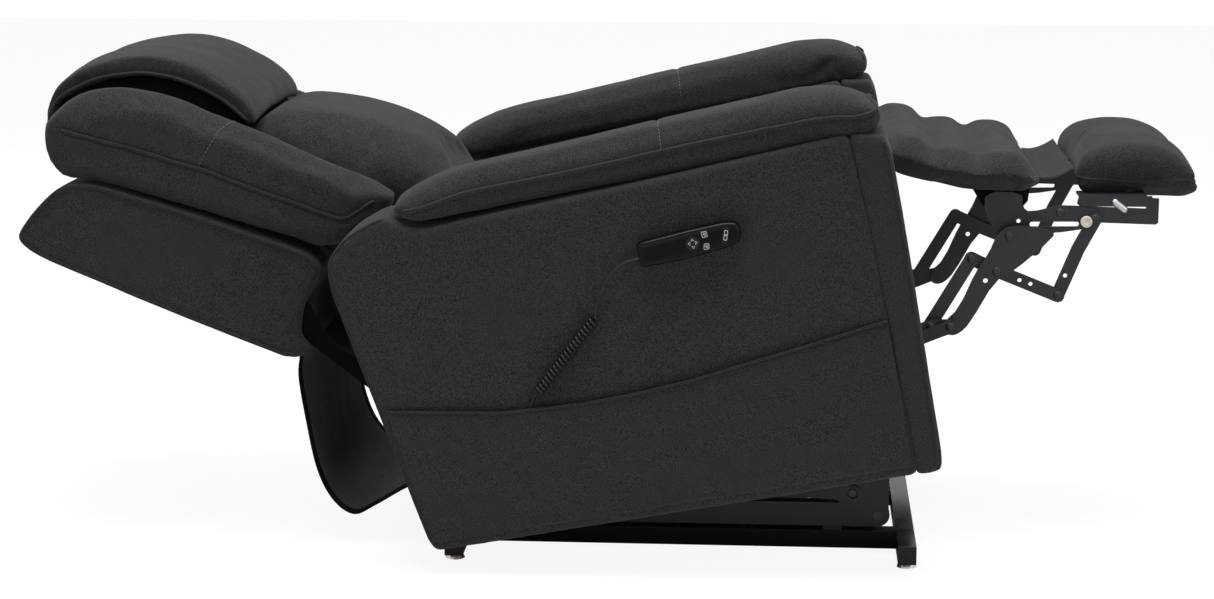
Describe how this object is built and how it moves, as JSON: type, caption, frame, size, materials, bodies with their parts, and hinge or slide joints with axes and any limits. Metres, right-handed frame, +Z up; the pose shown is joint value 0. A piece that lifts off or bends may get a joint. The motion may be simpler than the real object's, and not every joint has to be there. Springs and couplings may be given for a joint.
{
  "type": "lift recliner chair",
  "caption": "Upholstered lift recliner on a raising base, with tilting seat, reclining back, folding footrest and a corded handset.",
  "frame": {"origin": "on the floor under the middle of the whole chair's box, with the chair as shown", "axes": "+X forward, the way the sitter faces, +Y to the sitter's left, +Z up"},
  "size_m": [1.9543, 0.894, 0.8168],
  "materials": {
    "black_tube": "satin",
    "black_plastic": "matt",
    "grey_steel": "satin",
    "zinc_steel": "satin",
    "link_steel": "satin",
    "frame_wood": "raw",
    "cover_fabric": "napped",
    "cushion_fabric": "napped",
    "dust_cloth": "matt",
    "handset_plastic": "matt",
    "button_rubber": "matt",
    "cord_rubber": "satin"
  },
  "bodies": {
    "base": {"base_frame": "black_tube", "tube_end_caps": "black_plastic", "levelling_glides": "black_plastic", "base_pivot_lugs": "grey_steel", "arm_saddles": "black_plastic", "arm_pivot_bolts": "zinc_steel"},
    "lift_arms": {"lower_lift_arms": "grey_steel"},
    "upper_links": {"upper_lift_links": "grey_steel"},
    "lift_frame": {"lift_frame": "grey_steel", "lift_plates": "grey_steel", "lift_bolts": "zinc_steel"},
    "lift_motor": {"lift_actuator_body": "black_plastic"},
    "lift_rod": {"lift_actuator_rod": "zinc_steel"},
    "tilt_motor": {"tilt_actuator_body": "black_plastic"},
    "tilt_rod": {"tilt_actuator_rod": "zinc_steel"},
    "seat": {"seat_frame": "frame_wood", "seat_deck": "dust_cloth", "seat_cushion": "cushion_fabric", "side_panel_right": "cover_fabric", "side_panel_left": "cover_fabric", "arm_pad_right": "cushion_fabric", "arm_pad_left": "cushion_fabric", "arm_fronts": "cover_fabric", "side_pocket": "cover_fabric", "control_box": "black_plastic", "footrest_side_plates": "grey_steel", "footrest_actuator_body": "black_plastic", "seat_cross_members": "grey_steel", "lower_back_cloth": "dust_cloth", "handset_body": "handset_plastic", "handset_cord": "cord_rubber"},
    "back": {"back_frame": "frame_wood", "outer_back": "cover_fabric", "bolster_right": "cushion_fabric", "bolster_left": "cushion_fabric", "lumbar_cushion": "cushion_fabric", "head_pillow": "cushion_fabric"},
    "foot_rod": {"footrest_actuator_rod": "zinc_steel"},
    "back_motor": {"back_actuator_body": "black_plastic"},
    "back_rod": {"back_actuator_rod": "zinc_steel"},
    "drive_links": {"drive_links": "link_steel"},
    "follower_links": {"follower_links": "link_steel"},
    "footrest_brackets": {"footrest_brackets": "link_steel"},
    "long_links": {"long_curved_links": "link_steel"},
    "support_links": {"support_links": "link_steel"},
    "bell_cranks": {"bell_cranks": "link_steel"},
    "diagonal_links": {"diagonal_links": "link_steel"},
    "ottoman": {"ottoman_plates": "link_steel", "legrest_board": "frame_wood", "legrest_pad": "cushion_fabric"},
    "flipper": {"flipper_bars": "link_steel", "foot_pad": "cushion_fabric", "pad_flap": "cushion_fabric"},
    "four_way_button": {"four_way_button": "button_rubber"},
    "square_button_upper": {"square_button_upper": "button_rubber"},
    "square_button_lower": {"square_button_lower": "button_rubber"},
    "pill_button": {"pill_button": "button_rubber"}
  },
  "joints": [
    {"name": "lift", "type": "hinge", "parent": "base", "child": "lift_arms", "pos_m": [-0.16785, 0.01195, 0.066], "axis": [0, 1, 0], "range_deg": [-30, 0]},
    {"name": "lift_links", "type": "hinge", "parent": "base", "child": "upper_links", "pos_m": [-0.20785, 0.01195, 0.143], "axis": [0, 1, 0], "range_deg": [-30.8, 0]},
    {"name": "lift_frame_tip", "type": "hinge", "parent": "lift_arms", "child": "lift_frame", "pos_m": [0.45915, 0.01195, 0.066], "axis": [0, 1, 0], "range_deg": [0, 50]},
    {"name": "lift_motor_pivot", "type": "hinge", "parent": "base", "child": "lift_motor", "pos_m": [0.42215, 0.01195, 0.045], "axis": [0, 1, 0], "range_deg": [0, 7.27]},
    {"name": "lift_rod_stroke", "type": "slide", "parent": "lift_motor", "child": "lift_rod", "axis": [-0.9851, 0, 0.1718], "range_m": [0, 0.06424]},
    {"name": "seat_tilt", "type": "hinge", "parent": "lift_frame", "child": "seat", "pos_m": [-0.23285, 0.01195, 0.098], "axis": [0, 1, 0], "range_deg": [0, 10.5]},
    {"name": "tilt_motor_pivot", "type": "hinge", "parent": "lift_frame", "child": "tilt_motor", "pos_m": [-0.06785, 0.01195, 0.118], "axis": [0, 1, 0], "range_deg": [0, 16.59]},
    {"name": "tilt_rod_stroke", "type": "slide", "parent": "tilt_motor", "child": "tilt_rod", "axis": [0.9077, 0, 0.4195], "range_m": [-0.00508, 0]},
    {"name": "recline", "type": "hinge", "parent": "seat", "child": "back", "pos_m": [-0.3394, 0.01195, 0.26132], "axis": [0, 1, 0], "range_deg": [0, 53], "deforming": ["lower_back_cloth"]},
    {"name": "back_motor_pivot", "type": "hinge", "parent": "seat", "child": "back_motor", "pos_m": [-0.0892, 0.01195, 0.22836], "axis": [0, 1, 0], "range_deg": [0, 3.65]},
    {"name": "back_rod_stroke", "type": "slide", "parent": "back_motor", "child": "back_rod", "axis": [-0.9411, 0, 0.338], "range_m": [-0.06027, 0]},
    {"name": "footrest", "type": "hinge", "parent": "seat", "child": "drive_links", "pos_m": [0.41353, 0.01195, 0.31442], "axis": [0, 1, 0], "range_deg": [-124.6, 0]},
    {"name": "footrest_rod_stroke", "type": "slide", "parent": "seat", "child": "foot_rod", "axis": [0.9969, 0, -0.0785], "range_m": [-0.0797, 0]},
    {"name": "follower_pivot", "type": "hinge", "parent": "seat", "child": "follower_links", "pos_m": [0.38214, 0.01195, 0.31368], "axis": [0, 1, 0], "range_deg": [-124.6, 0]},
    {"name": "bracket_pivot", "type": "hinge", "parent": "drive_links", "child": "footrest_brackets", "pos_m": [0.57136, 0.01195, 0.37927], "axis": [0, 1, 0], "range_deg": [0, 124.6]},
    {"name": "long_link_pivot", "type": "hinge", "parent": "drive_links", "child": "long_links", "pos_m": [0.57136, 0.01195, 0.37927], "axis": [0, 1, 0], "range_deg": [0, 229.9]},
    {"name": "support_link_pivot", "type": "hinge", "parent": "footrest_brackets", "child": "support_links", "pos_m": [0.53997, 0.01195, 0.37853], "axis": [0, 1, 0], "range_deg": [0, 84.1]},
    {"name": "bell_crank_pivot", "type": "hinge", "parent": "long_links", "child": "bell_cranks", "pos_m": [0.646, 0.01195, 0.47039], "axis": [0, 1, 0], "range_deg": [-20.2, 0]},
    {"name": "diagonal_pivot", "type": "hinge", "parent": "bell_cranks", "child": "diagonal_links", "pos_m": [0.74703, 0.01195, 0.43013], "axis": [0, 1, 0], "range_deg": [-41.9, 0]},
    {"name": "ottoman_pivot", "type": "hinge", "parent": "long_links", "child": "ottoman", "pos_m": [0.66468, 0.01195, 0.52877], "axis": [0, 1, 0], "range_deg": [-25.8, 0]},
    {"name": "flipper_pivot", "type": "hinge", "parent": "ottoman", "child": "flipper", "pos_m": [0.74719, 0.01195, 0.56644], "axis": [0, 1, 0], "range_deg": [0, 173.7], "deforming": ["pad_flap"]},
    {"name": "four_way_press", "type": "slide", "parent": "seat", "child": "four_way_button", "axis": [0, 1, 0], "range_m": [0, 0.0012], "stiffness_N_per_m": 900, "springref_m": -0.0006},
    {"name": "upper_square_press", "type": "slide", "parent": "seat", "child": "square_button_upper", "axis": [0, 1, 0], "range_m": [0, 0.0012], "stiffness_N_per_m": 900, "springref_m": -0.0006},
    {"name": "lower_square_press", "type": "slide", "parent": "seat", "child": "square_button_lower", "axis": [0, 1, 0], "range_m": [0, 0.0012], "stiffness_N_per_m": 900, "springref_m": -0.0006},
    {"name": "pill_press", "type": "slide", "parent": "seat", "child": "pill_button", "axis": [0, 1, 0], "range_m": [0, 0.0012], "stiffness_N_per_m": 900, "springref_m": -0.0006}
  ],
  "couplings": [
    {"joint": "lift_links", "follows": "lift", "ratio": 1.0267},
    {"joint": "lift_frame_tip", "follows": "lift", "ratio": -1.6667},
    {"joint": "lift_motor_pivot", "follows": "lift", "ratio": -0.24231},
    {"joint": "lift_rod_stroke", "follows": "lift", "m_per_rad": -0.1227},
    {"joint": "tilt_motor_pivot", "follows": "seat_tilt", "ratio": 1.5797},
    {"joint": "tilt_rod_stroke", "follows": "seat_tilt", "m_per_rad": -0.027717},
    {"joint": "back_motor_pivot", "follows": "recline", "ratio": 0.068794},
    {"joint": "back_rod_stroke", "follows": "recline", "m_per_rad": -0.065158},
    {"joint": "footrest_rod_stroke", "follows": "footrest", "m_per_rad": 0.036649},
    {"joint": "follower_pivot", "follows": "footrest", "ratio": 1},
    {"joint": "bracket_pivot", "follows": "footrest", "ratio": -1},
    {"joint": "long_link_pivot", "follows": "footrest", "ratio": -1.8451},
    {"joint": "support_link_pivot", "follows": "footrest", "ratio": -0.67496},
    {"joint": "bell_crank_pivot", "follows": "footrest", "ratio": 0.16212},
    {"joint": "diagonal_pivot", "follows": "footrest", "ratio": 0.33628},
    {"joint": "ottoman_pivot", "follows": "footrest", "ratio": 0.20706},
    {"joint": "flipper_pivot", "follows": "footrest", "ratio": -1.3941}
  ]
}
